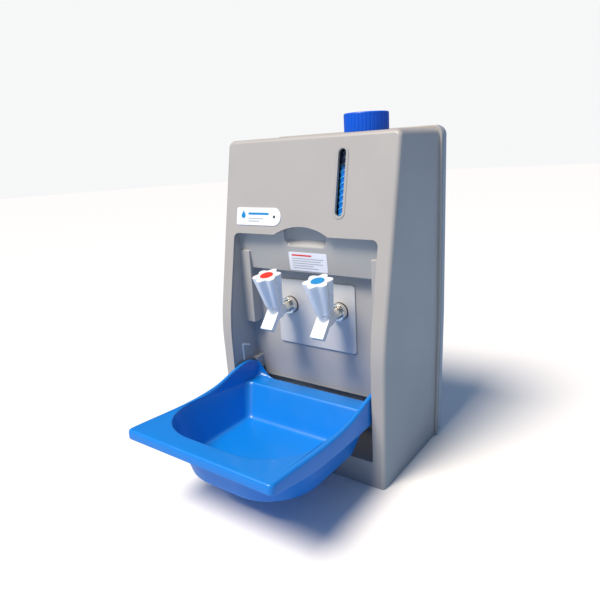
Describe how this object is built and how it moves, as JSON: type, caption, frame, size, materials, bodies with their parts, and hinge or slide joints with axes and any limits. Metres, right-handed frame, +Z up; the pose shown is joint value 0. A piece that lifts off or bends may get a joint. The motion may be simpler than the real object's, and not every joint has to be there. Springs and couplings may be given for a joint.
{
  "type": "portable hand-wash unit",
  "caption": "Moulded hand-wash unit with hot and cold star-knob taps over a basin that folds up into its recess, a screwed filler cap and inner tanks",
  "frame": {"origin": "middle of the housing's base, on the surface that it stands on", "axes": "+Z up, -Y out of the front, +X to the right seen from the front"},
  "size_m": [0.314, 0.422, 0.524],
  "materials": {
    "housing_plastic": "satin",
    "cover_plastic": "satin",
    "liner_plastic": "satin",
    "panel_plastic": "gloss",
    "basin_plastic": "gloss",
    "cap_plastic": "satin",
    "tap_plastic": "gloss",
    "red_disc": "gloss",
    "blue_disc": "gloss",
    "plated_metal": "polished",
    "stainless": "brushed",
    "brass": "satin",
    "black_rubber": "matt",
    "bush_plastic": "satin",
    "tank_plastic": "translucent",
    "tube_plastic": "gloss",
    "black_plastic": "satin",
    "label_film": "satin",
    "pale_plastic": "gloss",
    "hose_rubber": "satin"
  },
  "bodies": {
    "housing": {"front_housing": "housing_plastic", "screw_posts": "housing_plastic", "rear_cover": "cover_plastic", "cover_screws": "stainless", "wall_inserts": "brass", "recess_liner": "liner_plastic", "tap_plate": "panel_plastic", "info_label": "label_film", "side_clips": "bush_plastic", "hinge_pins": "stainless", "sight_bezel": "pale_plastic", "level_tube": "tube_plastic", "badge": "label_film", "status_led": "black_plastic", "fresh_tank": "tank_plastic", "tank_shelf": "stainless", "hot_tank": "stainless", "heating_element": "brass", "thermostat": "black_plastic", "feed_pipe": "hose_rubber", "hot_pipe": "hose_rubber", "cold_pipe": "hose_rubber", "terminal_box": "black_plastic", "power_inlet": "black_plastic", "inlet_nut": "plated_metal", "waste_tank": "tank_plastic", "tap_gaskets": "black_rubber", "tap_collars": "plated_metal", "tap_stems": "plated_metal", "tap_backnuts": "brass", "hot_valve_body": "tap_plastic", "cold_valve_body": "tap_plastic"},
    "basin": {"basin": "basin_plastic", "hinge_bushes": "bush_plastic"},
    "hot_handle": {"hot_knob": "tap_plastic", "hot_disc": "red_disc", "hot_spindle": "brass"},
    "cold_handle": {"cold_knob": "tap_plastic", "cold_disc": "blue_disc", "cold_spindle": "brass"},
    "filler_seal": {"filler_seal": "black_rubber"},
    "filler_cap": {"filler_cap": "cap_plastic"},
    "drain_seal": {"drain_seal": "black_rubber"},
    "drain_cap": {"drain_cap": "black_plastic"}
  },
  "joints": [
    {"name": "basin_fold", "type": "hinge", "parent": "housing", "child": "basin", "pos_m": [0, -0.088, 0.117], "axis": [-1, 0, 0], "range_deg": [0, 91]},
    {"name": "hot_tap_turn", "type": "hinge", "parent": "housing", "child": "hot_handle", "pos_m": [-0.046, -0.083, 0.2405], "axis": [0, -0.2504, 0.9681], "range_deg": [0, 180]},
    {"name": "cold_tap_turn", "type": "hinge", "parent": "housing", "child": "cold_handle", "pos_m": [0.046, -0.083, 0.2405], "axis": [0, -0.2504, 0.9681], "range_deg": [0, 180]},
    {"name": "filler_cap_lift", "type": "slide", "parent": "housing", "child": "filler_seal", "axis": [0, 0, 1], "range_m": [0, 0.009]},
    {"name": "filler_cap_turn", "type": "hinge", "parent": "filler_seal", "child": "filler_cap", "pos_m": [0.063, 0.021, 0.51], "axis": [0, 0, 1], "range_deg": [0, 720]},
    {"name": "drain_cap_lift", "type": "slide", "parent": "housing", "child": "drain_seal", "axis": [-1, 0, 0], "range_m": [0, 0.006]},
    {"name": "drain_cap_turn", "type": "hinge", "parent": "drain_seal", "child": "drain_cap", "pos_m": [-0.155, 0.027, 0.027], "axis": [-1, 0, 0], "range_deg": [0, 540]}
  ],
  "couplings": [
    {"joint": "filler_cap_lift", "follows": "filler_cap_turn", "m_per_rad": 0.00071619},
    {"joint": "drain_cap_lift", "follows": "drain_cap_turn", "m_per_rad": 0.00063661}
  ]
}
